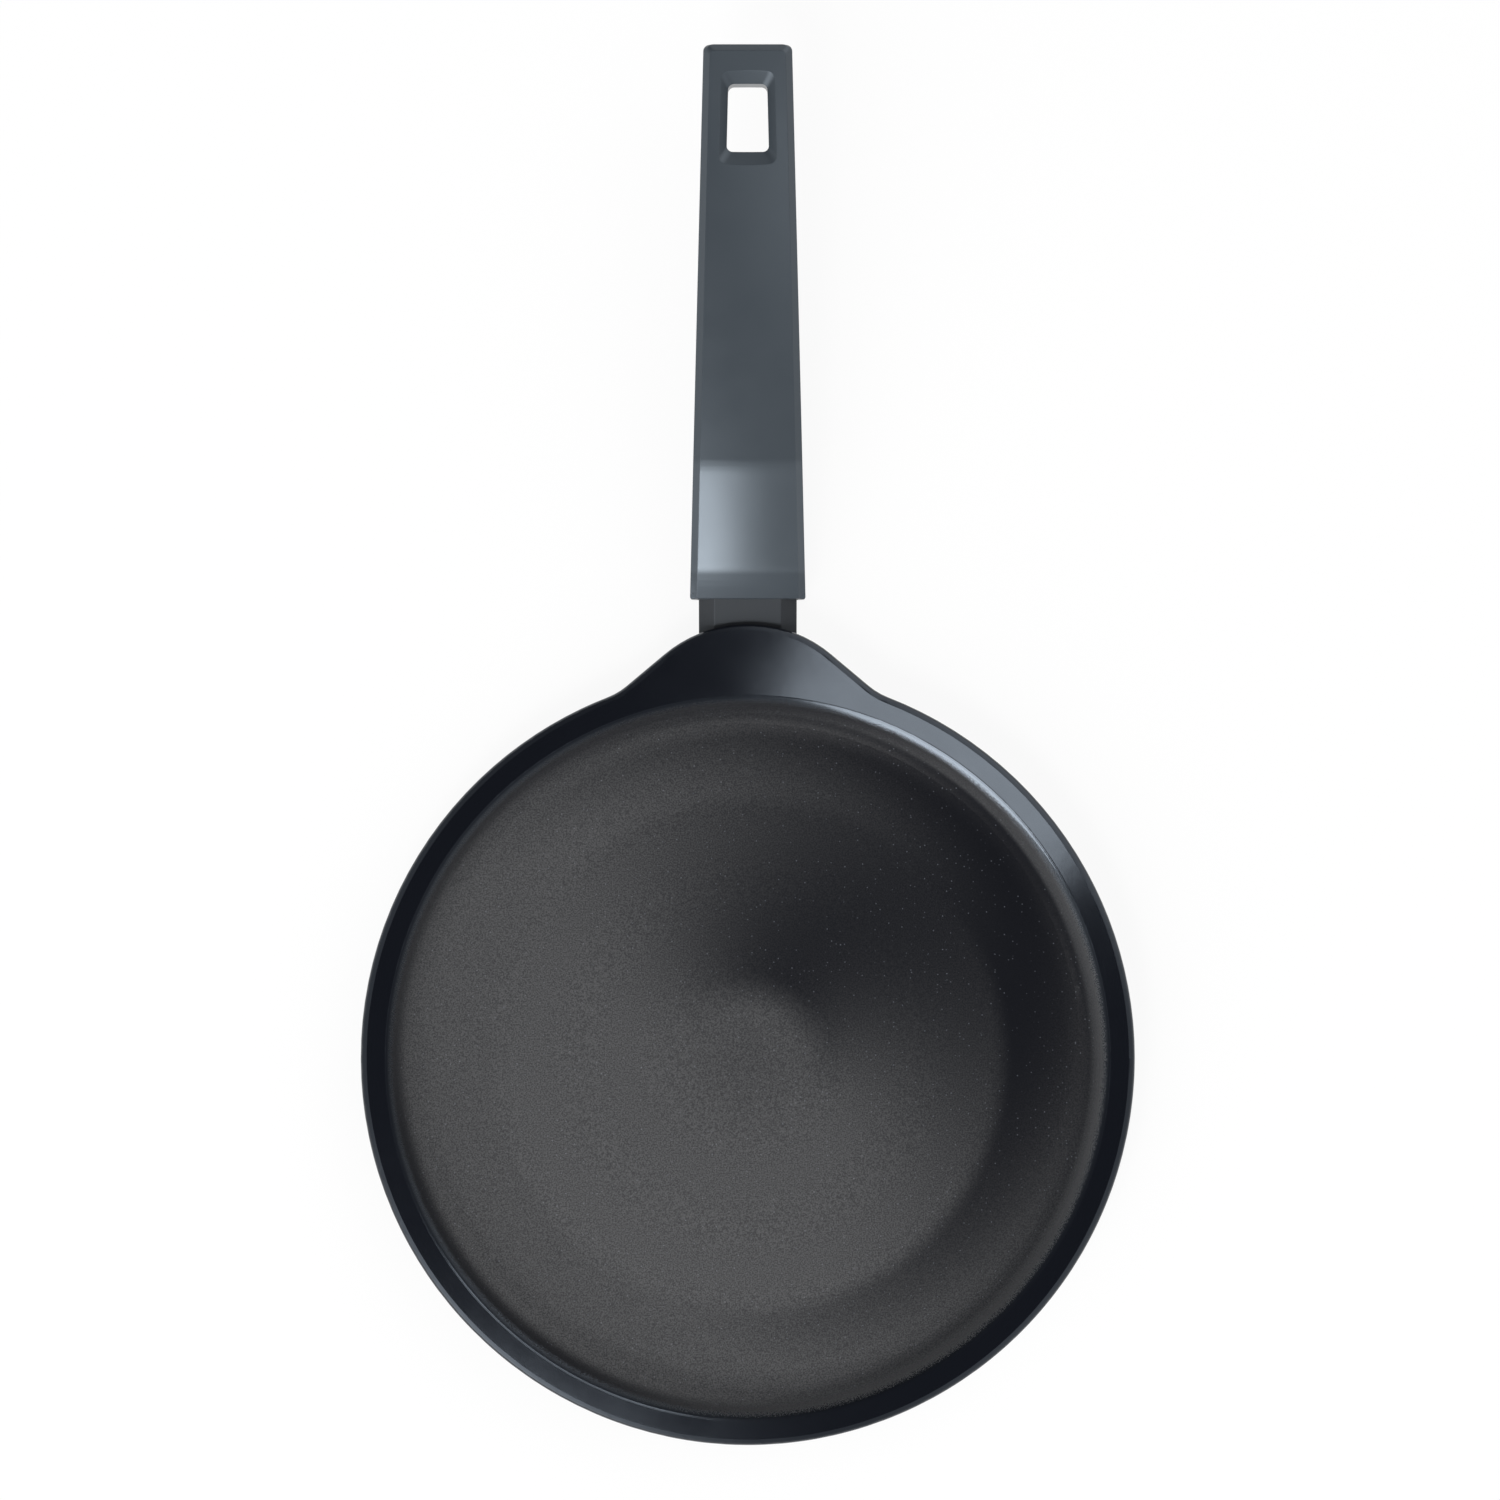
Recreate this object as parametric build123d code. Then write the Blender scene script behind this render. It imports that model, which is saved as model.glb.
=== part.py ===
from build123d import *
import math
import os

# A shallow crepe pan. Lengths are in millimetres and angles in degrees.
# The origin is the middle of the base on the table, Z is up and the handle points along +Y.

# Rim and nose of the pan
pan_radius = 140.0
rim_height = 23.0
rim_thickness = 3.6
flange_width = 9.6
flange_fall = 3.0
bowl_edge_rounding = 1.3
rim_top_rounding = 2.4
rim_bottom_rounding = 0.8
nose_overhang = 17.0
nose_radius = 47.0
nose_flank_angle = 40.0
nose_blend_radius = 24.0

# Bowl, from its middle outwards: level, then rising slowly to a crease, then a shallow zone and the wall
floor_height = 5.0
level_share = 0.3135
crease_rise = 1.0
shallow_width = 33.7
shallow_rise = 4.9
shallow_sag = 0.6
wall_lean = 4.2
bowl_corner_rounding = 9.0

# Underside
wall_thickness = 3.6
shallow_thickness = 3.0
base_margin = 3.5
base_edge_rounding = 3.0
outer_corner_rounding = 11.0
under_flange_rounding = 1.6

# Steel disc in the base, with rings of round holes
disc_inset = 12.0
disc_thickness = 0.8
disc_hole_radius = 3.0
ring_shares = [0.405, 0.643, 0.881]
ring_counts = [12, 18, 24]

# Neck: cast root and tang, with the collar pushed over the tang
neck_angle = 14.5
lip_gap = 0.3
collar_width = 35.5
collar_height = 11.4
collar_bevel_width = 5.6
collar_bevel_drop = 3.4
collar_edge_rounding = 0.8
collar_length = 25.0
collar_in_handle = 7.0
root_inset = 0.6
root_overlap = 21.8
root_foot_height = 4.0
gusset_reach = 7.0
tang_width = 26.0
tang_height = 7.6
tang_rounding = 1.5
tang_in_handle = 40.0
fit_gap = 0.15

# Handle
neck_in_view = 9.0
handle_length = 197.0
handle_front_width = 41.0
handle_end_width = 31.0
top_wall = 2.6
bottom_wall = 4.4
front_slope = 22.0
front_slope_length = 6.5
thumb_length = 44.0
grip_start_slope = 9.5
grip_end_slope = 3.0
grip_thickness = 18.0
end_thickness = 13.0
belly_start = 36.0
handle_bevel = 2.4
bend_rounding = 40.0
crease_rounding = 60.0
underside_rounding = 6.0
end_rounding = 2.5
mouth_rounding = 0.8
tang_end_gap = 1.0

# Hang hole near the end of the handle, in a chamfered recess
hang_to_end = 26.3
hang_width = 14.3
hang_length = 24.0
hang_rounding = 2.2
recess_width = 19.6
recess_length = 32.5
recess_depth = 2.6
recess_rounding = 3.2
hang_end_bow = 0.1
recess_end_bow = 1.4
hang_under_rounding = 0.8

# Screw from underneath, with its washer
screw_place = 24.0
screw_radius = 2.5
screw_clearance = 0.4
thread_gap = 0.05
thread_floor = 1.2
tip_gap = 0.5
tip_chamfer = 0.5
head_radius = 4.5
head_height = 2.6
head_rounding = 0.8
washer_radius = 5.0
washer_thickness = 0.8
pocket_radius = 5.4
seat_thickness = 2.2
drive_width = 1.2
drive_length = 5.0
drive_depth = 1.6

# Every cut runs past the surface by the overrun, and places nearer than nearness are the same
overrun = 5.0
nearness = 0.05
right_angle = 90.0


def sine(angle):
    return math.sin(math.radians(angle))


def cosine(angle):
    return math.cos(math.radians(angle))


def tangent(angle):
    return math.tan(math.radians(angle))


# Radii and heights that follow from the sizes above
flange_inner_radius = pan_radius - flange_width
bowl_corner_radius = flange_inner_radius - wall_lean
crease_radius = bowl_corner_radius - shallow_width
level_radius = level_share * crease_radius
crease_height = floor_height + crease_rise
bowl_corner_height = crease_height + shallow_rise
outer_neck_radius = flange_inner_radius + wall_thickness
outer_corner_radius = bowl_corner_radius + wall_thickness
outer_corner_height = bowl_corner_height - shallow_thickness
base_radius = crease_radius + base_margin
disc_radius = base_radius - disc_inset
nose_reach = pan_radius + nose_overhang
handle_front = nose_reach + neck_in_view
handle_end = handle_front + handle_length


# Height of the flange and the nose, which fall away from the bowl as one shallow cone
def flange_top(radius):
    return rim_height - (radius - flange_inner_radius) * tangent(flange_fall)


# The neck line runs through the middle of the collar, whose top passes just under the nose
collar_top_at_nose = flange_top(nose_reach) - rim_thickness - lip_gap
neck_height = (
    collar_top_at_nose
    + (handle_front - nose_reach) * tangent(neck_angle)
    - collar_height / 2 / cosine(neck_angle)
)
collar_start = collar_in_handle - collar_length
seat_below = tang_height / 2 + fit_gap + seat_thickness


# Y and Z of a place on the neck: along its line from the handle's front, and above the line
def neck_point(along, above):
    return (
        handle_front + along * cosine(neck_angle) - above * sine(neck_angle),
        neck_height + along * sine(neck_angle) + above * cosine(neck_angle),
    )


# Plane across the neck, with its local y upwards and its normal towards the handle's end
def across_neck(along):
    y, z = neck_point(along, 0)
    return Plane((0, y, z), x_dir=(-1, 0, 0), z_dir=(0, cosine(neck_angle), sine(neck_angle)))


# Plane across the screw, below the neck line, with its normal towards the screw's head
def across_screw(below):
    y, z = neck_point(screw_place, -below)
    return Plane((0, y, z), x_dir=(1, 0, 0), z_dir=(0, sine(neck_angle), -cosine(neck_angle)))


def turned(profile):
    return revolve(Plane.XZ * profile, axis=Axis.Z)


def corner_near(face, x, y):
    return min(face.vertices(), key=lambda v: math.hypot(v.X - x, v.Y - y))


# Seen from above: the circle of the rim, and the nose that swells out of it over the neck.
# Each flank of the nose runs on inside the circle, to its point nearest the middle of the pan.
def rim_outline():
    centre_y = nose_reach - nose_radius
    touch_x = nose_radius * sine(nose_flank_angle)
    touch_y = centre_y + nose_radius * cosine(nose_flank_angle)
    flank_length = touch_y * sine(nose_flank_angle) - touch_x * cosine(nose_flank_angle)
    foot_x = touch_x + flank_length * cosine(nose_flank_angle)
    foot_y = touch_y - flank_length * sine(nose_flank_angle)
    tip = ThreePointArc((-touch_x, touch_y), (0, nose_reach), (touch_x, touch_y))
    flanks = Polyline((touch_x, touch_y), (foot_x, foot_y), (-foot_x, foot_y), (-touch_x, touch_y))
    outline = Circle(pan_radius) + make_face(tip + flanks)
    joins = [v for v in outline.vertices() if v.Y > 0 and abs(v.X) > touch_x + nearness]
    return fillet(joins, nose_blend_radius)


# Edges around the outside of the rim plate, a given depth below the flange's top
def rim_edges(plate, depth):
    found = []
    for edge in plate.edges():
        spot = edge @ 0.5
        radius = math.hypot(spot.X, spot.Y)
        if radius > flange_inner_radius and abs(flange_top(radius) - depth - spot.Z) < nearness:
            found.append(edge)
    return found


def rim_plate():
    outer = nose_reach + overrun
    inner = bowl_corner_radius
    ring = make_face(
        Polyline(
            (inner, flange_top(inner)),
            (outer, flange_top(outer)),
            (outer, flange_top(outer) - rim_thickness),
            (inner, flange_top(inner) - rim_thickness),
            close=True,
        )
    )
    plate = turned(ring) & extrude(rim_outline(), rim_height + overrun)
    plate = fillet(rim_edges(plate, 0), rim_top_rounding)
    return fillet(rim_edges(plate, rim_thickness), rim_bottom_rounding)


# What the bowl takes away; its wall runs on straight above the flange
def bowl_space():
    middle_radius = (crease_radius + bowl_corner_radius) / 2
    middle_height = (crease_height + bowl_corner_height) / 2 - shallow_sag
    top = rim_height + overrun
    top_radius = flange_inner_radius + overrun * wall_lean / (rim_height - bowl_corner_height)
    floor = Polyline((0, floor_height), (level_radius, floor_height), (crease_radius, crease_height))
    shallow = ThreePointArc(
        (crease_radius, crease_height),
        (middle_radius, middle_height),
        (bowl_corner_radius, bowl_corner_height),
    )
    wall = Polyline(
        (bowl_corner_radius, bowl_corner_height), (top_radius, top), (0, top), (0, floor_height)
    )
    profile = make_face(floor + shallow + wall)
    profile = fillet(corner_near(profile, bowl_corner_radius, bowl_corner_height), bowl_corner_rounding)
    return turned(profile)


# Edges that run round the pan at a given radius and height
def edges_round(solid, radius, height):
    found = []
    for edge in solid.edges():
        spot = edge @ 0.5
        off_radius = abs(math.hypot(spot.X, spot.Y) - radius)
        if off_radius < nearness and abs(spot.Z - height) < nearness:
            found.append(edge)
    return found


def outer_shell():
    under_flange = flange_top(outer_neck_radius) - rim_thickness
    profile = make_face(
        Polyline(
            (0, 0),
            (base_radius, 0),
            (outer_corner_radius, outer_corner_height),
            (outer_neck_radius, under_flange),
            (outer_neck_radius, rim_height - rim_thickness / 2),
            (0, rim_height - rim_thickness / 2),
            close=True,
        )
    )
    profile = fillet(corner_near(profile, base_radius, 0), base_edge_rounding)
    profile = fillet(corner_near(profile, outer_corner_radius, outer_corner_height), outer_corner_rounding)
    shell = turned(profile) + rim_plate()
    return fillet(edges_round(shell, outer_neck_radius, under_flange), under_flange_rounding)


# Section of the collar: a flat top between two wide bevels, as on the handle
def collar_section(grow):
    half = collar_width / 2 + grow
    flat = half - collar_bevel_width
    top = collar_height / 2 + grow
    shoulder = top - collar_bevel_drop
    section = make_face(
        Polyline(
            (flat, top), (half, shoulder), (half, -top), (-half, -top), (-half, shoulder), (-flat, top),
            close=True,
        )
    )
    return fillet(section.vertices(), collar_edge_rounding + grow)


def tang_section(grow):
    return RectangleRounded(tang_width + 2 * grow, tang_height + 2 * grow, tang_rounding + grow)


# Web between the root and the underside of the nose
def gusset():
    width = collar_width - 2 * collar_bevel_width
    inside = bowl_corner_radius
    outside = outer_neck_radius + gusset_reach
    low_y, low_z = neck_point(collar_start, collar_height / 2 - root_inset)
    side = make_face(
        Polyline(
            (inside, flange_top(inside) - rim_thickness / 2),
            (outside, flange_top(outside) - rim_thickness / 2),
            (low_y, low_z),
            (low_y, low_z - tang_height),
            (inside, low_z - tang_height),
            close=True,
        )
    )
    return extrude(Plane.YZ * side, width / 2, both=True)


# The root butts against the collar and stays clear of the table; the tang runs on into the handle
def cast_neck():
    root_length = collar_start + (handle_front - outer_corner_radius + root_overlap) / cosine(neck_angle)
    root = extrude(across_neck(collar_start) * collar_section(-root_inset), -root_length)
    above_foot = Pos(0, 0, root_foot_height) * Box(
        collar_width, 2 * handle_front, 2 * rim_height, align=(Align.CENTER, Align.CENTER, Align.MIN)
    )
    tang = extrude(across_neck(collar_start) * tang_section(0), tang_in_handle - collar_start)
    return (root & above_foot) + gusset() + tang


def disc_outline():
    outline = Circle(disc_radius)
    for share, count in zip(ring_shares, ring_counts):
        outline -= PolarLocations(share * disc_radius, count) * Circle(disc_hole_radius)
    return outline


# The base has a seat for the disc, with a stud of its own metal in every hole of the disc
def pan_body():
    body = outer_shell() + cast_neck()
    body -= bowl_space()
    body = fillet(edges_round(body, flange_inner_radius, rim_height), bowl_edge_rounding)
    body -= extrude(disc_outline(), disc_thickness)
    thread = Circle(screw_radius + thread_gap)
    body -= extrude(across_screw(tang_height / 2) * thread, thread_floor - tang_height)
    return body


def induction_disc():
    return extrude(disc_outline(), disc_thickness)


def flame_guard():
    guard = extrude(across_neck(collar_in_handle) * collar_section(0), -collar_length)
    bore = extrude(across_neck(collar_in_handle) * tang_section(fit_gap), -collar_length)
    return guard - bore


# Line of the grip's top, seen from the side, from the crease to the end of the handle
def grip_line():
    crease_y, crease_z = neck_point(front_slope_length + thumb_length, collar_height / 2 + top_wall)
    run = handle_end - crease_y
    middle_slope = (grip_start_slope + grip_end_slope) / 2
    quarter_slope = (grip_start_slope + middle_slope) / 2
    return ThreePointArc(
        (crease_y, crease_z),
        (crease_y + run / 2, crease_z + run / 2 * tangent(quarter_slope)),
        (handle_end, crease_z + run * tangent(middle_slope)),
    )


# Seen from the side: the mouth slopes up to the thumb area, a soft crease leads to the arched grip
def handle_side():
    above = collar_height / 2 + top_wall
    below = collar_height / 2 + bottom_wall
    bend_y, bend_z = neck_point(front_slope_length, above)
    belly_y, belly_z = neck_point(belly_start, -below)
    front_top = bend_z - (bend_y - handle_front) * tangent(front_slope)
    front_bottom = belly_z - (belly_y - handle_front) * tangent(neck_angle)
    grip = grip_line()
    crease = grip @ 0
    middle = grip @ 0.5
    end = grip @ 1
    top = Polyline((handle_front, front_top), (bend_y, bend_z), (crease.X, crease.Y))
    tail = Line((end.X, end.Y), (end.X, end.Y - end_thickness))
    belly = ThreePointArc(
        (end.X, end.Y - end_thickness), (middle.X, middle.Y - grip_thickness), (belly_y, belly_z)
    )
    front = Polyline((belly_y, belly_z), (handle_front, front_bottom), (handle_front, front_top))
    side = make_face(top + grip + tail + belly + front)
    side = fillet(corner_near(side, bend_y, bend_z), bend_rounding)
    side = fillet(corner_near(side, crease.X, crease.Y), crease_rounding)
    return fillet(corner_near(side, belly_y, belly_z), crease_rounding)


def lengthwise_edges(solid, up):
    found = []
    for face in solid.faces():
        if face.normal_at().Z * up > cosine(right_angle / 2):
            found += [e for e in face.edges() if abs((e @ 0).X - (e @ 1).X) < handle_bevel]
    return found


# Bevelled above all round, rounded below, and softened at both ends
def handle_block():
    half_front = handle_front_width / 2
    half_end = handle_end_width / 2
    plan = make_face(
        Polyline(
            (-half_front, handle_front),
            (half_front, handle_front),
            (half_end, handle_end),
            (-half_end, handle_end),
            close=True,
        )
    )
    side = handle_side()
    tallest = side.bounding_box().max.Y
    block = extrude(Plane.YZ * side, half_front, both=True) & extrude(plan, tallest)
    end_top = block.faces().sort_by(Axis.Y)[-1].edges().sort_by(Axis.Z)[-1]
    block = chamfer(lengthwise_edges(block, 1) + [end_top], handle_bevel)
    block = fillet(lengthwise_edges(block, -1), underside_rounding)
    near_end = [e for e in block.edges() if (e @ 0.5).Y > handle_end - handle_bevel + nearness]
    end_top = max(block.faces().sort_by(Axis.Y)[-1].edges(), key=lambda e: (e @ 0.5).Z)
    near_end = [e for e in near_end if (e @ 0.5 - end_top @ 0.5).length > nearness]
    block = fillet(near_end, end_rounding)
    return fillet(block.faces().sort_by(Axis.Y)[0].edges(), mouth_rounding)


# Outline of the hang hole or its recess, with sides along the handle's taper and bowed ends
def hang_outline(width, length, rounding, bow):
    taper = (handle_front_width - handle_end_width) / 2 / (handle_end - handle_front)
    narrow = width / 2 - taper * length / 2
    wide = width / 2 + taper * length / 2
    half = length / 2
    near = ThreePointArc((-wide, -half), (0, -half - bow), (wide, -half))
    far = ThreePointArc((narrow, half), (0, half + bow), (-narrow, half))
    sides = [Line(near @ 1, far @ 0), Line(far @ 1, near @ 0)]
    outline = make_face([near, far] + sides)
    return fillet(outline.vertices(), rounding)


# The recess is square to the surface, and the hole goes straight down from it
def hang_space():
    grip = grip_line()
    place_share = (grip.length - hang_to_end) / grip.length
    place = grip @ place_share
    slope = grip % place_share
    surface = Plane((0, place.X, place.Y), x_dir=(1, 0, 0), z_dir=(0, -slope.Y, slope.X))
    widening = (recess_width - hang_width) / recess_depth
    lengthening = (recess_length - hang_length) / recess_depth
    high = hang_outline(
        recess_width + widening * recess_depth,
        recess_length + lengthening * recess_depth,
        recess_rounding,
        recess_end_bow,
    )
    low = hang_outline(hang_width, hang_length, hang_rounding, hang_end_bow)
    recess_floor = surface.offset(-recess_depth) * low
    recess = loft([recess_floor, surface.offset(recess_depth) * high])
    return recess + extrude(recess_floor, 2 * end_thickness, dir=(0, 0, -1))


# The mouth takes the collar, and a narrower channel behind it takes the tang
def socket_space():
    mouth = extrude(across_neck(-overrun) * collar_section(fit_gap), overrun + collar_in_handle)
    channel = extrude(across_neck(0) * tang_section(fit_gap), tang_in_handle + tang_end_gap)
    return mouth + channel


def screw_space():
    hole = extrude(across_screw(0) * Circle(screw_radius + screw_clearance), seat_below + overrun)
    pocket = extrude(across_screw(seat_below) * Circle(pocket_radius), bottom_wall + overrun)
    return hole + pocket


def handle():
    block = handle_block() - hang_space()
    lower_faces = [f for f in block.faces() if f.normal_at().Z < -cosine(right_angle / 2)]
    hole_edges = [e for f in lower_faces for wire in f.inner_wires() for e in wire.edges()]
    block = fillet(hole_edges, hang_under_rounding)
    return block - socket_space() - screw_space()


def screw_washer():
    ring = Circle(washer_radius) - Circle(screw_radius + screw_clearance)
    return extrude(across_screw(seat_below) * ring, washer_thickness)


def handle_screw():
    under_head = seat_below + washer_thickness
    tip = thread_floor + tip_gap - tang_height / 2
    head = Cylinder(head_radius, head_height, align=(Align.CENTER, Align.CENTER, Align.MIN))
    head = fillet(head.edges().sort_by(Axis.Z)[-1], head_rounding)
    slot = Box(drive_length, drive_width, drive_depth, align=(Align.CENTER, Align.CENTER, Align.MAX))
    cross = Pos(0, 0, head_height) * (slot + Rot(0, 0, right_angle) * slot)
    shank = Cylinder(screw_radius, under_head + tip, align=(Align.CENTER, Align.CENTER, Align.MAX))
    shank = chamfer(shank.edges().sort_by(Axis.Z)[0], tip_chamfer)
    return across_screw(under_head) * (head - cross + shank)


def write_parts():
    os.makedirs("parts", exist_ok=True)
    makers = [pan_body, induction_disc, flame_guard, handle, handle_screw, screw_washer]
    for maker in makers:
        solid = maker()
        export_step(solid, f"parts/{maker.__name__}.step")
        print(maker.__name__, round(solid.volume))


write_parts()
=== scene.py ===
from math import cos, pi, radians, sin
import bpy
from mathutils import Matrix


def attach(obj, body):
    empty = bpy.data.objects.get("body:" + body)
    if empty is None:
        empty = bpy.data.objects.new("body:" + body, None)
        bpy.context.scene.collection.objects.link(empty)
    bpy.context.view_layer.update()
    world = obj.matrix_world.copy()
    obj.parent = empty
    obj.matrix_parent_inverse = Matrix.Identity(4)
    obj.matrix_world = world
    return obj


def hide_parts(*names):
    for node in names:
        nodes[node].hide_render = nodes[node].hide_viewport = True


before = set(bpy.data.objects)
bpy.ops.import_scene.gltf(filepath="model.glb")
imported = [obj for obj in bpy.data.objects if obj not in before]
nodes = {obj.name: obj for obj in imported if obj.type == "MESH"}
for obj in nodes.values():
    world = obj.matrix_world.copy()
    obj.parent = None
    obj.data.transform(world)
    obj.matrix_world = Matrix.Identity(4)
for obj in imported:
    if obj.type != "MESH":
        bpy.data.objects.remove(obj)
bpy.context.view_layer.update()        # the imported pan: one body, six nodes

print("frame loaded:", sorted(nodes))


def deselectAll():
    if bpy.context.object and bpy.context.object.mode != "OBJECT":
        bpy.ops.object.mode_set(mode="OBJECT")
    bpy.ops.object.select_all(action="DESELECT")


# short ways to place the shader nodes used below; each returns what the next node needs
noiseSpan = (0.3, 0.7)      # a noise mostly lies between these
mixSockets = dict(FLOAT=(2, 3, 0), VECTOR=(4, 5, 1), RGBA=(6, 7, 2))      # first, second and result


def addNode(tree, kind, at, **settings):
    node = tree.nodes.new("ShaderNode" + kind)
    node.location = at
    for key, value in settings.items():
        setattr(node, key, value)
    return node


def feed(tree, socket, value):      # another node's output, or a plain number, vector or colour
    if isinstance(value, bpy.types.NodeSocket):
        tree.links.new(value, socket)
    elif value is not None:
        socket.default_value = (*value, 1) if socket.type == "RGBA" else value


def setInputs(tree, node, **values):      # Wear_Scale=25 goes to the input "Wear Scale"
    for name, value in values.items():
        feed(tree, node.inputs[name.replace("_", " ")], value)
    return node


def mathNode(tree, operation, at, first, second=None):
    node = addNode(tree, "Math", at, operation=operation)
    feed(tree, node.inputs[0], first)
    feed(tree, node.inputs[1], second)
    return node.outputs[0]


def vectorNode(tree, operation, at, first, second=None):
    node = addNode(tree, "VectorMath", at, operation=operation)
    feed(tree, node.inputs[0], first)
    feed(tree, node.inputs[1], second)
    return node.outputs["Value" if operation in ("LENGTH", "DOT_PRODUCT") else "Vector"]


def mixNode(tree, kind, at, share, first, second):
    node = addNode(tree, "Mix", at, data_type=kind)
    one, two, result = mixSockets[kind]
    feed(tree, node.inputs[0], share)
    feed(tree, node.inputs[one], first)
    feed(tree, node.inputs[two], second)
    return node.outputs[result]


def rampNode(tree, at, value, fromMin, fromMax, toMin=0.0, toMax=1.0, kind="SMOOTHSTEP"):
    node = addNode(tree, "MapRange", at, interpolation_type=kind)
    setInputs(tree, node, Value=value, From_Min=fromMin, From_Max=fromMax, To_Min=toMin, To_Max=toMax)
    return node.outputs["Result"]


def stepNode(tree, at, value, middle, soft):      # rises from 0 to 1, or falls if soft is negative
    return rampNode(tree, at, value, middle - soft, middle + soft)


def spreadNode(tree, at, noise, middle, spread):      # a noise as a value that strays from its middle
    return rampNode(tree, at, noise, *noiseSpan, middle - spread, middle + spread)


def noiseNode(tree, at, where, scale, detail, roughness=0.5):
    node = addNode(tree, "TexNoise", at)
    setInputs(tree, node, Vector=where, Scale=scale, Detail=detail, Roughness=roughness)
    return node.outputs[0]


def bumpNode(tree, at, height, depth, normal=None):
    node = addNode(tree, "Bump", at)
    return setInputs(tree, node, Height=height, Distance=depth, Normal=normal).outputs[0]


def splitNode(tree, at, vector):
    node = addNode(tree, "SeparateXYZ", at)
    feed(tree, node.inputs[0], vector)
    return tuple(node.outputs)


def radiusNode(tree, at, where):      # distance from the pan's upright axis
    x, y = at
    return vectorNode(tree, "LENGTH", at, vectorNode(tree, "MULTIPLY", (x - 200, y), where, (1, 1, 0)))


# camera, straight above like the photograph
viewSettings = dict(x=0.0008, y=0.1114, height=2.023, lens=132.9, sensor=36)


def addCamera():
    deselectAll()
    at = (viewSettings["x"], viewSettings["y"], viewSettings["height"])
    bpy.ops.object.camera_add(location=at, rotation=(0, 0, 0))
    camera = bpy.context.object
    camera.name = "topCamera"
    camera.data.lens = viewSettings["lens"]
    camera.data.sensor_width = viewSettings["sensor"]
    bpy.context.scene.camera = camera
    bpy.context.scene.view_settings.view_transform = "Standard"


# studio: a white floor, a sky that is dark overhead with paler walls, and two soft boxes
studio = dict(
    floorSize=8, floorDrop=0.0004,         # the drop keeps the floor off the disc's own underside
    floorColour=(0.8, 0.8, 0.8),
    floorGlow=0.9,                         # how far the camera sees the floor as plain white
    ceiling=0.08,                          # dark over the pan, so the lacquer stays deep
    walls=0.14,
    ceilingEnds=0.96, wallsStart=0.80,     # heights on the sky
    wallGlows=[                            # the walls are paler towards these sides
        dict(turn=233, level=4.0, power=9.0),
        dict(turn=318, level=1.0, power=5.0),
        dict(turn=170, level=0.6, power=4.0),
        dict(turn=45, level=1.9, power=4.0),
    ],
    softboxes=[
        dict(name="keyBox", at=(0.208, 0.244, 1.5), turn=148, length=0.35, depth=0.16, glow=6.7),
        dict(name="fillBox", at=(-0.380, -0.696, 1.5), turn=155, length=0.42, depth=0.56, glow=13.0),
    ],
)


def addSoftbox(box):
    deselectAll()
    bpy.ops.object.light_add(type="AREA", location=box["at"], rotation=(0, 0, radians(box["turn"])))
    lamp = bpy.context.object
    lamp.name = box["name"]
    lamp.data.shape = "RECTANGLE"
    lamp.data.size = box["length"]
    lamp.data.size_y = box["depth"]
    lamp.data.energy = box["glow"] * pi * box["length"] * box["depth"]


def paintFloor():
    material = bpy.data.materials.new("whiteFloor")
    material.use_nodes = True
    tree = material.node_tree
    tree.nodes.clear()
    out = addNode(tree, "OutputMaterial", (600, 0))
    mix = addNode(tree, "MixShader", (400, 0))
    matt = addNode(tree, "BsdfDiffuse", (200, 100))
    glow = addNode(tree, "Emission", (200, -100))
    path = addNode(tree, "LightPath", (-200, 300))
    setInputs(tree, matt, Color=studio["floorColour"])
    setInputs(tree, glow, Color=(1, 1, 1), Strength=1)
    seen = mathNode(tree, "MAXIMUM", (0, 300), path.outputs["Is Camera Ray"], path.outputs["Is Glossy Ray"])
    feed(tree, mix.inputs[0], mathNode(tree, "MULTIPLY", (200, 300), seen, studio["floorGlow"]))
    feed(tree, mix.inputs[1], matt.outputs[0])
    feed(tree, mix.inputs[2], glow.outputs[0])
    feed(tree, out.inputs["Surface"], mix.outputs[0])
    return material


def paintSky():
    world = bpy.data.worlds.new("studioSky")
    bpy.context.scene.world = world
    world.use_nodes = True
    tree = world.node_tree
    tree.nodes.clear()
    out = addNode(tree, "OutputWorld", (1600, 0))
    sky = addNode(tree, "Background", (1400, 0))
    path = addNode(tree, "LightPath", (1000, 300))
    where = addNode(tree, "TexCoord", (-600, 0)).outputs["Generated"]
    _, _, height = splitNode(tree, (-400, 100), where)
    flat = vectorNode(tree, "MULTIPLY", (-400, -200), where, (1, 1, 0))
    side = vectorNode(tree, "NORMALIZE", (-200, -200), flat)
    walls = studio["walls"]
    for row, glow in enumerate(studio["wallGlows"]):
        y, turn = -200 * row, radians(glow["turn"])
        toward = vectorNode(tree, "DOT_PRODUCT", (0, y), side, (cos(turn), sin(turn), 0))
        near = mathNode(tree, "MAXIMUM", (200, y), toward, 0)
        lobe = mathNode(tree, "POWER", (400, y), near, glow["power"])
        paler = mathNode(tree, "MULTIPLY", (600, y), lobe, glow["level"])
        walls = mathNode(tree, "ADD", (800, y), paler, walls)
    share = rampNode(tree, (0, 200), height, studio["ceilingEnds"], studio["wallsStart"])
    level = mixNode(tree, "FLOAT", (1000, 0), share, studio["ceiling"], walls)
    level = mathNode(tree, "MAXIMUM", (1200, 0), level, path.outputs["Is Camera Ray"])
    setInputs(tree, sky, Color=(1, 1, 1), Strength=level)
    feed(tree, out.inputs["Surface"], sky.outputs[0])


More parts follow.
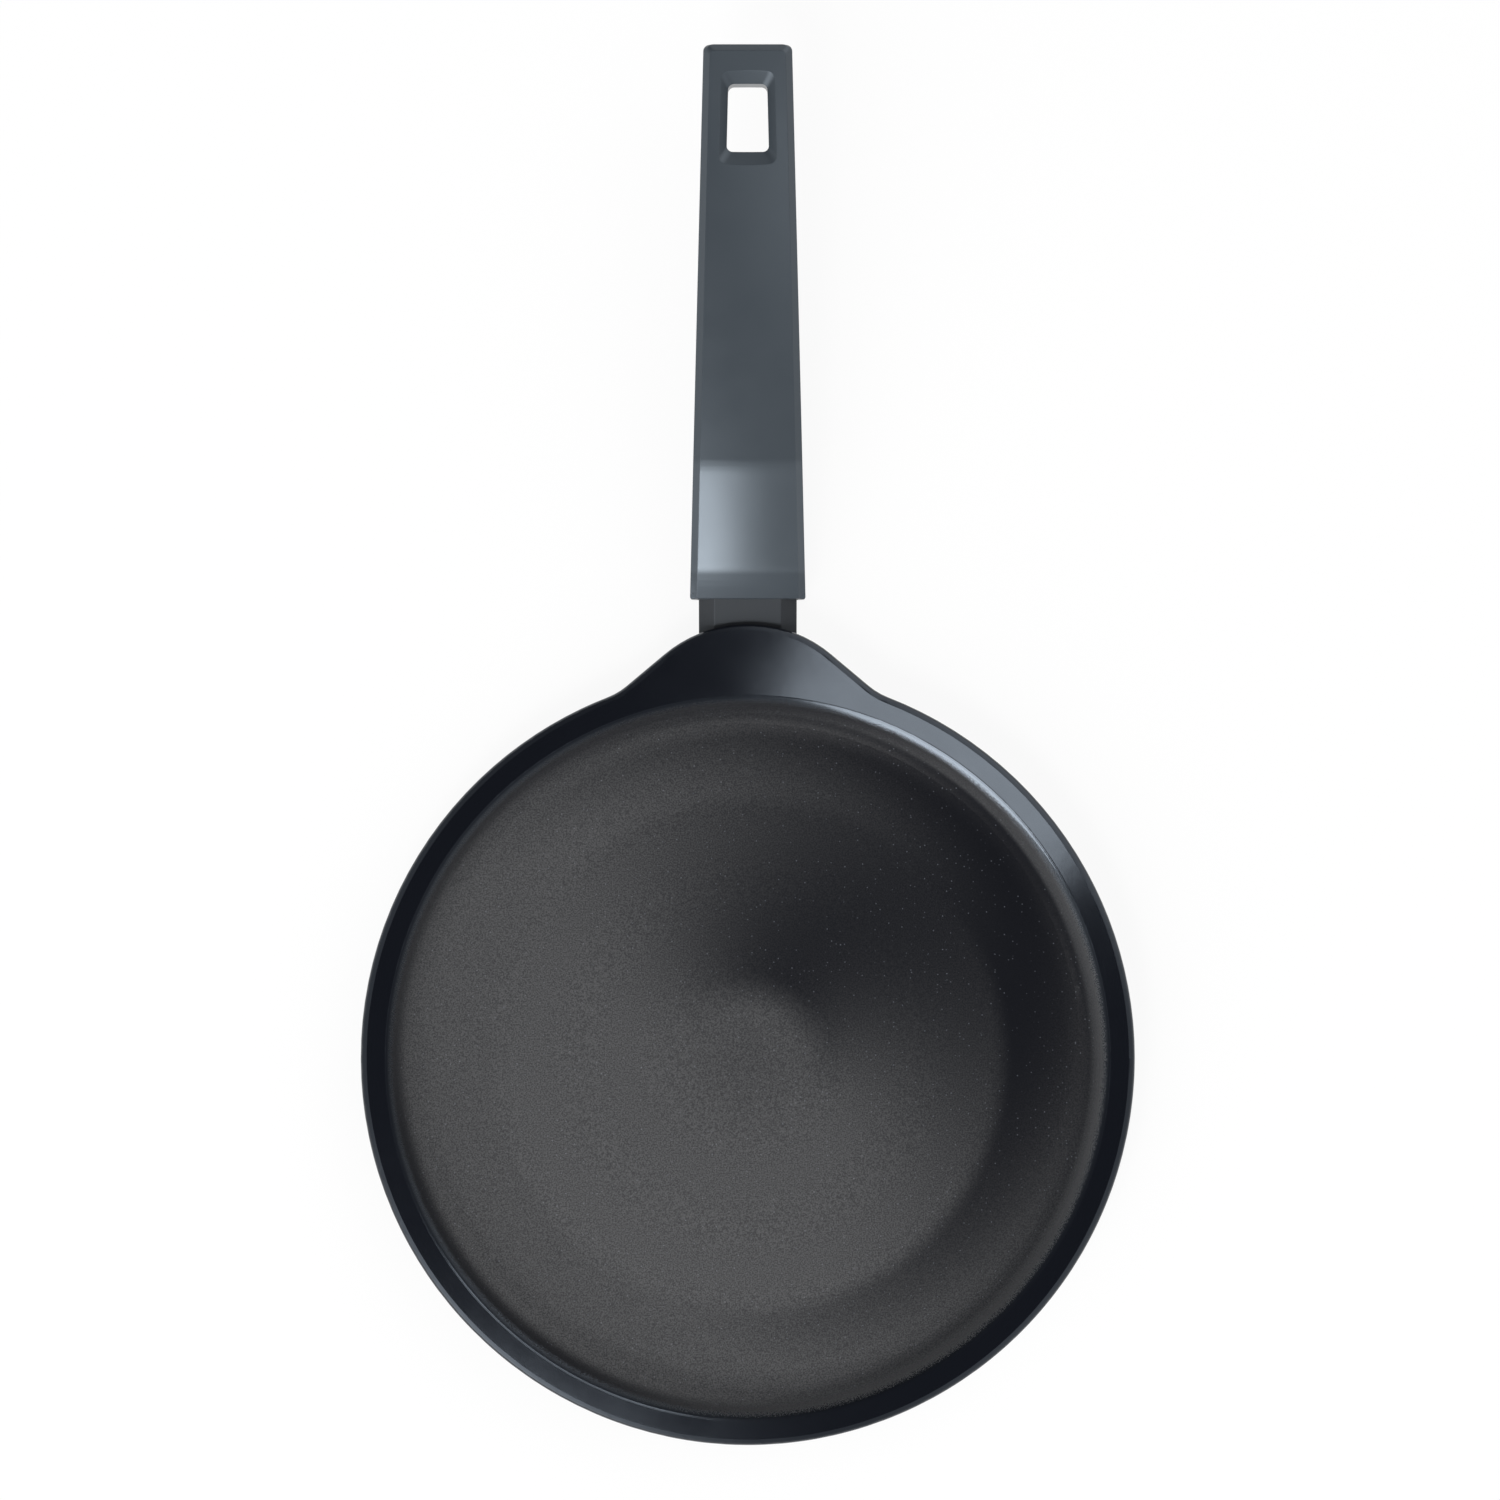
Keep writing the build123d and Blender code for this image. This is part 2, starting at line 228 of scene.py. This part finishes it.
def addStudio():
    deselectAll()
    bpy.ops.mesh.primitive_plane_add(size=studio["floorSize"], location=(0, 0, -studio["floorDrop"]))
    floor = bpy.context.object
    floor.name = "floor"
    floor.data.materials.append(paintFloor())
    paintSky()
    for box in studio["softboxes"]:
        addSoftbox(box)


addCamera()
addStudio()
print("studio ready")


# effects that several finishes share, each a node group
def newGroup(name, inputs, outputs):
    group = bpy.data.node_groups.new(name, "ShaderNodeTree")
    for label, kind, value in inputs:
        socket = group.interface.new_socket(name=label, in_out="INPUT", socket_type="NodeSocket" + kind)
        if value is not None:
            socket.default_value = value
    for label, kind in outputs:
        group.interface.new_socket(name=label, in_out="OUTPUT", socket_type="NodeSocket" + kind)
    start = group.nodes.new("NodeGroupInput")
    end = group.nodes.new("NodeGroupOutput")
    start.location, end.location = (-900, 0), (900, 0)
    return group, start.outputs, end


def makeSoftEdge():      # edges look slightly rounded
    group, given, end = newGroup("softEdge", [("Radius", "Float", 0.0005)], [("Normal", "Vector")])
    soft = addNode(group, "Bevel", (0, 0), samples=6)
    setInputs(group, soft, Radius=given["Radius"])
    setInputs(group, end, Normal=soft.outputs[0])
    return group


def makeFineGrain():      # a fine grain as relief, and slow changes as wear
    group, given, end = newGroup(
        "fineGrain",
        [("Vector", "Vector", None), ("Grain Scale", "Float", 2000.0), ("Wear Scale", "Float", 30.0),
         ("Depth", "Float", 0.00001), ("Normal", "Vector", None)],
        [("Wear", "Float"), ("Normal", "Vector")])
    grain = noiseNode(group, (-400, 200), given["Vector"], given["Grain Scale"], detail=2)
    wear = noiseNode(group, (-400, -200), given["Vector"], given["Wear Scale"], detail=4, roughness=0.6)
    relief = bumpNode(group, (200, 0), grain, given["Depth"], given["Normal"])
    setInputs(group, end, Wear=wear, Normal=relief)
    return group


def makeTurnedGrooves():      # the lathe's marks around the pan's axis
    group, given, end = newGroup(
        "turnedGrooves",
        [("Vector", "Vector", None), ("Groove Scale", "Float", 3000.0), ("Depth", "Float", 0.00002)],
        [("Groove", "Float"), ("Normal", "Vector")])
    groove = addNode(group, "TexNoise", (-300, 0), noise_dimensions="1D")
    setInputs(group, groove, W=radiusNode(group, (-500, 0), given["Vector"]), Scale=given["Groove Scale"],
              Detail=3, Roughness=0.7)
    relief = bumpNode(group, (200, 0), groove.outputs[0], given["Depth"])
    setInputs(group, end, Groove=groove.outputs[0], Normal=relief)
    return group


softEdge = makeSoftEdge()
fineGrain = makeFineGrain()
turnedGrooves = makeTurnedGrooves()


def newMaterial(name):
    material = bpy.data.materials.new(name)
    material.use_nodes = True
    tree = material.node_tree
    where = addNode(tree, "TexCoord", (-2600, 0))
    return material, tree, tree.nodes["Principled BSDF"], where.outputs["Object"]


def useGroup(tree, group, at, **values):
    return setInputs(tree, addNode(tree, "Group", at, node_tree=group), **values).outputs


def dress(node, material):
    slots = nodes[node].data.materials
    slots.clear()
    slots.append(material)


# pan: speckled coating inside, lacquer outside, turned metal under the base
panLook = dict(
    coat=dict(
        colour=(0.0074, 0.0080, 0.0104),
        edgeRadius=0.1291, edgeWander=0.0009, edgeSoft=0.00015,
        sprayScale=2400, sprayDetail=1,                   # the sprayed edge ends in fine dots
        speckleScale=1900, speckleDetail=2, speckleDepth=0.00002,
        sparkle=0.38,                                     # how much the gloss strays from dot to dot
        fleckColour=(0.070, 0.076, 0.090), fleckScale=620,
        fleckSize=(0.20, 0.08), fleckChosen=(0.4, 1.0),   # from rim to core, and which cells have one
        rough=0.50, patchRough=0.34,
        gloss=0.77, levelGloss=0.63,                      # in the dish, and where it is level in its middle
        levelEnds=(0.013, 0.032), levelGlossEnd=0.0377,   # the dull patch starts outside the level middle
        creaseRadius=0.0925, creaseSoft=0.0045,           # from the dish to the shallow zone round it
        zoneGloss=0.775, evening=0.08, eveningTurn=215,   # the zone's own lean is evened out
        evenShare=0.75, evenInner=0.114, evenOuter=0.121,   # the thick coat evens out the small bends
        facingUp=(0.0, 0.02),                             # it stops where faces no longer look up
    ),
    # dull patches give back less of the room; turn is where the middle lies at the inner and outer radius
    dishPatch=dict(inner=0.031, outer=0.0925, turn=(62, 38), reach=-0.42, power=1.7, gloss=0.12),
    zonePatch=dict(inner=0.0960, outer=0.1233, turn=(12, 40), reach=-0.45, power=1.1, gloss=0.02),
    # up the wall the spray lies thick on the side that faces it, and thin opposite;
    # the spans go from -1, straight opposite, to 1 on that side
    wall=dict(
        turn=38, thinSpan=(-0.98, -0.6), end=0.1293,
        thinStart=0.1210, thinGloss=0.08, thickStart=0.1240, thickGloss=0.8,
        # the paler colour up the wall on one side is a painted sheen, where light falls on that wall, not
        # dust
        paintedSheenColour=(0.102, 0.104, 0.108), paintedSheenTurn=-18, paintedSheenSpan=(-0.2, 0.9), paintedSheenLeast=0.15,
        paintedSheenStart=0.1238, paintedSheenEnd=0.1314,
    ),
    lacquer=dict(
        colour=(0.0034, 0.0040, 0.0064), tint=(0.76, 0.87, 1.0), gloss=0.5,
        rough=0.11, roughSpread=0.0165, wearScale=25, peelScale=260, orangePeel=0.000004,
    ),
    # the flange's inner edge is rounded over: it leans inwards by fewer degrees from start to end
    roundedEdge=dict(start=0.1291, end=0.1309, soft=0.0001, underCoat=0.0015, firstLean=20, lastLean=12),
    bareMetal=dict(
        colour=(0.62, 0.62, 0.63), rough=0.30, top=0.0007,      # up to this height over the floor
        grooveScale=2500, grooveDepth=0.00001,
    ),
)
coat, wall, lacquer, bareMetal = (panLook[finish] for finish in ("coat", "wall", "lacquer", "bareMetal"))


def towards(tree, at, turn, side):      # 1 on this side of the pan, -1 on the other
    x, y = at
    return mathNode(tree, "COSINE", at, mathNode(tree, "SUBTRACT", (x - 200, y), turn, side))


def patchMask(tree, at, radius, turn, patch):
    x, y = at
    start, end = (radians(side) for side in patch["turn"])
    middle = rampNode(tree, (x - 800, y), radius, patch["inner"], patch["outer"], start, end)
    near = rampNode(tree, (x - 200, y), towards(tree, (x - 400, y), turn, middle), patch["reach"], 1,
                    kind="LINEAR")
    return mathNode(tree, "POWER", at, near, patch["power"])


def coatMask(tree, where, radius, upward):
    spray = noiseNode(tree, (-2200, 300), where, coat["sprayScale"], coat["sprayDetail"])
    ragged = mathNode(tree, "ADD", (-1800, 300), radius,
                      spreadNode(tree, (-2000, 300), spray, 0, coat["edgeWander"]))
    inside = stepNode(tree, (-1600, 300), ragged, coat["edgeRadius"], -coat["edgeSoft"])
    return mathNode(tree, "MULTIPLY", (-1400, 300), inside, upward)


def coatPatch(tree, radius, turn, inZone):
    outsideLevel = rampNode(tree, (-1200, 900), radius, *coat["levelEnds"])
    dish = mathNode(tree, "MULTIPLY", (-1000, 900),
                    patchMask(tree, (-1200, 1100), radius, turn, panLook["dishPatch"]), outsideLevel)
    zone = patchMask(tree, (-1200, 700), radius, turn, panLook["zonePatch"])
    return mixNode(tree, "FLOAT", (-800, 900), inZone, dish, zone)


def coatGloss(tree, radius, turn, inZone, patch):
    dish = rampNode(tree, (-1000, 1900), radius, 0, coat["levelGlossEnd"],
                    coat["levelGloss"], coat["gloss"])
    leaning = towards(tree, (-1200, 1700), turn, radians(coat["eveningTurn"]))
    evening = coat["zoneGloss"] * coat["evening"]
    zone = rampNode(tree, (-1000, 1700), leaning, -1, 1,
                    coat["zoneGloss"] + evening, coat["zoneGloss"] - evening, kind="LINEAR")
    glossy = mixNode(tree, "FLOAT", (-800, 1800), inZone, dish, zone)
    dull = mixNode(tree, "FLOAT", (-800, 1600), inZone,
                   panLook["dishPatch"]["gloss"], panLook["zonePatch"]["gloss"])
    return mixNode(tree, "FLOAT", (-600, 1700), patch, glossy, dull)


def wallGloss(tree, radius, turn, gloss):
    thick = rampNode(tree, (-1000, 2300), towards(tree, (-1200, 2300), turn, radians(wall["turn"])),
                     *wall["thinSpan"])
    onWall = mixNode(tree, "FLOAT", (-600, 2300), thick,
                     rampNode(tree, (-800, 2500), radius, wall["thinStart"], wall["end"]),
                     rampNode(tree, (-800, 2300), radius, wall["thickStart"], wall["end"]))
    sprayed = mixNode(tree, "FLOAT", (-600, 2100), thick, wall["thinGloss"], wall["thickGloss"])
    return mixNode(tree, "FLOAT", (-400, 2000), onWall, gloss, sprayed)


def coatColour(tree, where, radius, turn):
    flecks = addNode(tree, "TexVoronoi", (-2000, 2900))
    setInputs(tree, flecks, Vector=where, Scale=coat["fleckScale"])
    cell = addNode(tree, "SeparateColor", (-1800, 3100))
    feed(tree, cell.inputs[0], flecks.outputs["Color"])
    fleck = mathNode(tree, "MULTIPLY", (-1400, 2900),
                     rampNode(tree, (-1600, 2900), flecks.outputs["Distance"], *coat["fleckSize"]),
                     rampNode(tree, (-1600, 3100), cell.outputs[0], *coat["fleckChosen"]))
    flecked = mixNode(tree, "RGBA", (-1200, 2900), fleck, coat["colour"], coat["fleckColour"])
    # painted sheen: the wall's colour is made paler on the side that faces the light, fading up towards the
    # rim
    facing = towards(tree, (-1400, 2700), turn, radians(wall["paintedSheenTurn"]))
    paintedSheen = mathNode(tree, "MULTIPLY", (-1000, 2700),
                    rampNode(tree, (-1200, 2700), facing, *wall["paintedSheenSpan"], wall["paintedSheenLeast"], 1),
                    rampNode(tree, (-1200, 2500), radius, wall["paintedSheenStart"], wall["paintedSheenEnd"]))
    return mixNode(tree, "RGBA", (-800, 2900), paintedSheen, flecked, wall["paintedSheenColour"])


def leanInwards(tree, radius, turn, upward, normal):
    edge = panLook["roundedEdge"]
    lean = rampNode(tree, (-2200, -900), radius, edge["start"], edge["end"],
                    radians(edge["firstLean"]), radians(edge["lastLean"]), kind="LINEAR")
    inwards = mathNode(tree, "MULTIPLY", (-1800, -900), mathNode(tree, "SINE", (-2000, -900), lean), -1)
    leaning = addNode(tree, "CombineXYZ", (-1400, -900))
    setInputs(tree, leaning, Z=mathNode(tree, "COSINE", (-1600, -1300), lean))
    for axis, operation, y in (("X", "COSINE", -900), ("Y", "SINE", -1100)):
        side = mathNode(tree, operation, (-1800, y), turn)
        feed(tree, leaning.inputs[axis], mathNode(tree, "MULTIPLY", (-1600, y), side, inwards))
    ring = mathNode(tree, "MULTIPLY", (-1600, -600),
                    stepNode(tree, (-1800, -500), radius, edge["start"] - edge["underCoat"], edge["soft"]),
                    stepNode(tree, (-1800, -700), radius, edge["end"], -edge["soft"]))
    share = mathNode(tree, "MULTIPLY", (-1400, -600), upward, ring)
    return mixNode(tree, "VECTOR", (-1200, -700), share, normal, leaning.outputs[0])


def paintPan():
    material, tree, shader, where = newMaterial("panFinish")
    x, y, height = splitNode(tree, (-2400, 0), where)
    radius = radiusNode(tree, (-2200, 100), where)
    turn = mathNode(tree, "ARCTAN2", (-2200, 0), y, x)
    facing = addNode(tree, "NewGeometry", (-2200, -300)).outputs
    _, _, up = splitNode(tree, (-2000, -300), facing["True Normal"])
    upward = rampNode(tree, (-1800, -300), up, *coat["facingUp"])
    coated = coatMask(tree, where, radius, upward)
    bare = mathNode(tree, "LESS_THAN", (-1400, -100), height, bareMetal["top"])

    inZone = stepNode(tree, (-1400, 600), radius, coat["creaseRadius"], coat["creaseSoft"])
    patch = coatPatch(tree, radius, turn, inZone)
    speckle = noiseNode(tree, (-1400, 1500), where, coat["speckleScale"], coat["speckleDetail"])
    gloss = wallGloss(tree, radius, turn, coatGloss(tree, radius, turn, inZone, patch))
    gloss = mathNode(tree, "MULTIPLY", (-200, 1700), gloss,
                     spreadNode(tree, (-400, 1500), speckle, 1, coat["sparkle"]))
    evening = rampNode(tree, (-800, 500), radius, coat["evenInner"], coat["evenOuter"],
                       coat["evenShare"], 0)
    evened = mixNode(tree, "VECTOR", (-600, 500), evening, facing["Normal"], (0, 0, 1))
    inner = dict(
        colour=coatColour(tree, where, radius, turn),
        rough=mixNode(tree, "FLOAT", (-400, 900), patch, coat["rough"], coat["patchRough"]),
        normal=bumpNode(tree, (-400, 500), speckle, coat["speckleDepth"], evened))

    rounded = leanInwards(tree, radius, turn, upward, facing["Normal"])
    grain = useGroup(tree, fineGrain, (-1000, -700), Vector=where, Normal=rounded,
                     Grain_Scale=lacquer["peelScale"], Wear_Scale=lacquer["wearScale"],
                     Depth=lacquer["orangePeel"])
    grooves = useGroup(tree, turnedGrooves, (-1000, -1000), Vector=where,
                       Groove_Scale=bareMetal["grooveScale"], Depth=bareMetal["grooveDepth"])
    lacquerRough = spreadNode(tree, (-800, -500), grain["Wear"], lacquer["rough"], lacquer["roughSpread"])
    outer = dict(
        colour=mixNode(tree, "RGBA", (-400, -200), bare, lacquer["colour"], bareMetal["colour"]),
        rough=mixNode(tree, "FLOAT", (-400, -500), bare, lacquerRough, bareMetal["rough"]),
        normal=mixNode(tree, "VECTOR", (-400, -800), bare, grain["Normal"], grooves["Normal"]))

    setInputs(tree, shader,
              Base_Color=mixNode(tree, "RGBA", (0, 200), coated, outer["colour"], inner["colour"]),
              Roughness=mixNode(tree, "FLOAT", (0, 0), coated, outer["rough"], inner["rough"]),
              Metallic=bare,
              Specular_IOR_Level=mixNode(tree, "FLOAT", (0, -200), coated, lacquer["gloss"], gloss),
              Specular_Tint=mixNode(tree, "RGBA", (0, -400), coated, lacquer["tint"], (1, 1, 1)),
              Normal=mixNode(tree, "VECTOR", (0, -600), coated, outer["normal"], inner["normal"]))
    return material


dress("pan_body", paintPan())
print("pan painted")


# satin finishes: the collar's paint and the handle's plastic
def paintSatin(name, look):
    material, tree, shader, where = newMaterial(name)
    edges = useGroup(tree, softEdge, (-1400, -200), Radius=look["softEdge"])
    grain = useGroup(tree, fineGrain, (-1000, 0), Vector=where, Normal=edges["Normal"],
                     Grain_Scale=look["grainScale"], Wear_Scale=look["wearScale"], Depth=look["depth"])
    tone = rampNode(tree, (-600, 200), grain["Wear"], *noiseSpan)
    setInputs(tree, shader,
              Base_Color=mixNode(tree, "RGBA", (-300, 200), tone, look["colour"], look["wornColour"]),
              Roughness=spreadNode(tree, (-300, -100), grain["Wear"], look["rough"], look["roughSpread"]),
              Specular_IOR_Level=look["gloss"], Specular_Tint=look["tint"], Normal=grain["Normal"])
    if "gripGloss" in look:      # the thumb area is smoother than the grip
        _, along, _ = splitNode(tree, (-900, -500), where)
        front = rampNode(tree, (-600, -400), along, *look["smoothFrom"], look["gripGloss"], look["gloss"])
        back = rampNode(tree, (-600, -600), along, *look["smoothTo"], look["gloss"], look["gripGloss"])
        setInputs(tree, shader, Specular_IOR_Level=mathNode(tree, "MINIMUM", (-300, -500), front, back))
    return material


guardLook = dict(
    colour=(0.0190, 0.0195, 0.0220), wornColour=(0.0215, 0.0220, 0.0240), tint=(0.80, 0.91, 1.0),
    gloss=0.26, rough=0.42, roughSpread=0.02,
    grainScale=2200, wearScale=60, depth=0.000010, softEdge=0.0003,
)
dress("flame_guard", paintSatin("guardPaint", guardLook))


# bright steel: the disc, the screw and its washer
discLook = dict(
    colour=(0.50, 0.50, 0.50), stainColour=(0.44, 0.43, 0.42), stainScale=35, stainSpan=(0.35, 0.75),
    rough=0.32, roughSpread=0.064, grooveScale=2200, depth=0.000012,
)
screwLook = dict(
    colour=(0.56, 0.56, 0.57), stainColour=(0.48, 0.48, 0.48), stainScale=35, stainSpan=(0.35, 0.75),
    rough=0.28, roughSpread=0.056, grooveScale=4000, depth=0.000004,
)


def paintSteel(name, look):
    material, tree, shader, where = newMaterial(name)
    grooves = useGroup(tree, turnedGrooves, (-1000, 0), Vector=where,
                       Groove_Scale=look["grooveScale"], Depth=look["depth"])
    grain = useGroup(tree, fineGrain, (-1000, 300), Vector=where, Wear_Scale=look["stainScale"])
    tone = rampNode(tree, (-600, 200), grain["Wear"], *look["stainSpan"])
    rough = spreadNode(tree, (-300, -100), grooves["Groove"], look["rough"], look["roughSpread"])
    setInputs(tree, shader,
              Base_Color=mixNode(tree, "RGBA", (-300, 200), tone, look["colour"], look["stainColour"]),
              Roughness=rough, Metallic=1, Normal=grooves["Normal"])
    return material


dress("induction_disc", paintSteel("discSteel", discLook))
dress("handle_screw", paintSteel("screwSteel", screwLook))
dress("screw_washer", paintSteel("washerSteel", screwLook))
print("collar and steel painted")


# handle: a copy of the block, crowned across its top and dipping to its mouth
handleMoulding = dict(
    widen=1.02,                      # the moulding swells a little over the plain block
    crown=0.0013,                    # how far the long edges lie below the middle line; fades to the end
    front=0.166, end=0.363,          # where the handle starts and ends along y
    frontHalf=0.0205, endHalf=0.0155,
    columns=13, rows=16,             # cuts across on each side of the middle, and along behind the lip
    fadeDepth=0.012,                 # the crown fades out down the sides
    probe=0.012, inset=0.001,        # the top is felt beside the hang hole's recess and inside the bevels
    lipStart=0.1765, lipEnd=0.1660,  # in front of the thumb area the top dips towards the mouth
    lipDrop=0.0016, lipDepth=0.0015,
    lipCuts=(0.1785, 0.1765, 0.1745, 0.1725, 0.1700, 0.1680),
    weld=0.000002, smoothAngle=20,
    plastic=dict(
        colour=(0.0330, 0.0405, 0.0485), wornColour=(0.0350, 0.0425, 0.0505), tint=(0.78, 0.89, 1.0),
        gloss=0.80, rough=0.29, roughSpread=0.012,
        gripGloss=0.50, smoothFrom=(0.1745, 0.1765), smoothTo=(0.2135, 0.2165),   # along y
        grainScale=2600, wearScale=40, depth=0.000012, softEdge=0.0005,
    ),
)


def clamp(value):
    return min(max(value, 0), 1)


def depthBelowTop(handle, spot):
    shape = handleMoulding
    y = min(max(spot.y, shape["front"] + shape["inset"]), shape["end"] - shape["inset"])
    hit, top, _, _ = handle.ray_cast((shape["probe"], y, 1), (0, 0, -1))
    return top.z - spot.z if hit else 1


def crownWeight(spot, depth):
    shape = handleMoulding
    along = clamp((spot.y - shape["front"]) / (shape["end"] - shape["front"]))
    half = shape["frontHalf"] + along * (shape["endHalf"] - shape["frontHalf"])
    fade = clamp(1 - depth / shape["fadeDepth"])
    return (1 - along) * clamp(abs(spot.x) / half) ** 2 * fade ** 2 * (3 - 2 * fade)


def lipWeight(spot, depth):      # full down to lipDepth, gone at twice that
    shape = handleMoulding
    near = clamp((shape["lipStart"] - spot.y) / (shape["lipStart"] - shape["lipEnd"]))
    return near * clamp(2 - depth / shape["lipDepth"])


def sinkBy(handle, name, weights, drop):
    group = handle.vertex_groups.new(name=name)
    for index, weight in enumerate(weights):
        group.add([index], weight, "REPLACE")
    bpy.ops.object.modifier_add(type="DISPLACE")
    sink = handle.modifiers[-1]
    sink.direction = "Z"
    sink.mid_level = 0
    sink.strength = -drop
    sink.vertex_group = name
    bpy.ops.object.modifier_apply(modifier=sink.name)


def cutAt(place, across):      # new edges all round where this plane meets the mesh
    bpy.ops.mesh.select_all(action="SELECT")
    bpy.ops.mesh.bisect(plane_co=place, plane_no=across)


def makeHandle():
    shape = handleMoulding
    deselectAll()
    handle = bpy.data.objects.new("crownedHandle", nodes["handle"].data.copy())
    bpy.context.collection.objects.link(handle)
    bpy.context.view_layer.objects.active = handle
    handle.select_set(True)
    handle.data.materials.clear()
    bpy.ops.mesh.customdata_custom_splitnormals_clear()

    bpy.ops.object.mode_set(mode="EDIT")
    bpy.ops.mesh.select_all(action="SELECT")
    bpy.ops.mesh.remove_doubles(threshold=shape["weld"])
    bpy.ops.transform.resize(value=(shape["widen"], 1, 1), center_override=(0, 0, 0))
    for column in range(1, shape["columns"] * 2):
        cutAt(((column / shape["columns"] - 1) * shape["frontHalf"], 0, 0), (1, 0, 0))
    step = (shape["end"] - shape["lipStart"]) / shape["rows"]
    for y in shape["lipCuts"] + tuple(shape["lipStart"] + row * step for row in range(1, shape["rows"])):
        cutAt((0, y, 0), (0, 1, 0))
    bpy.ops.object.mode_set(mode="OBJECT")

    spots = [(vertex.co.copy(), depthBelowTop(handle, vertex.co)) for vertex in handle.data.vertices]
    sinkBy(handle, "crown", [crownWeight(spot, depth) for spot, depth in spots], shape["crown"])
    sinkBy(handle, "lip", [lipWeight(spot, depth) for spot, depth in spots], shape["lipDrop"])
    bpy.ops.object.shade_smooth_by_angle(angle=radians(shape["smoothAngle"]))
    bpy.ops.object.modifier_add(type="WEIGHTED_NORMAL")
    even = handle.modifiers[-1]
    even.keep_sharp = True
    bpy.ops.object.modifier_apply(modifier=even.name)
    handle.data.materials.append(paintSatin("handlePlastic", shape["plastic"]))
    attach(handle, "root")
    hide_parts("handle")
    return handle


handle = makeHandle()
print("handle crowned:", len(handle.data.polygons), "faces")
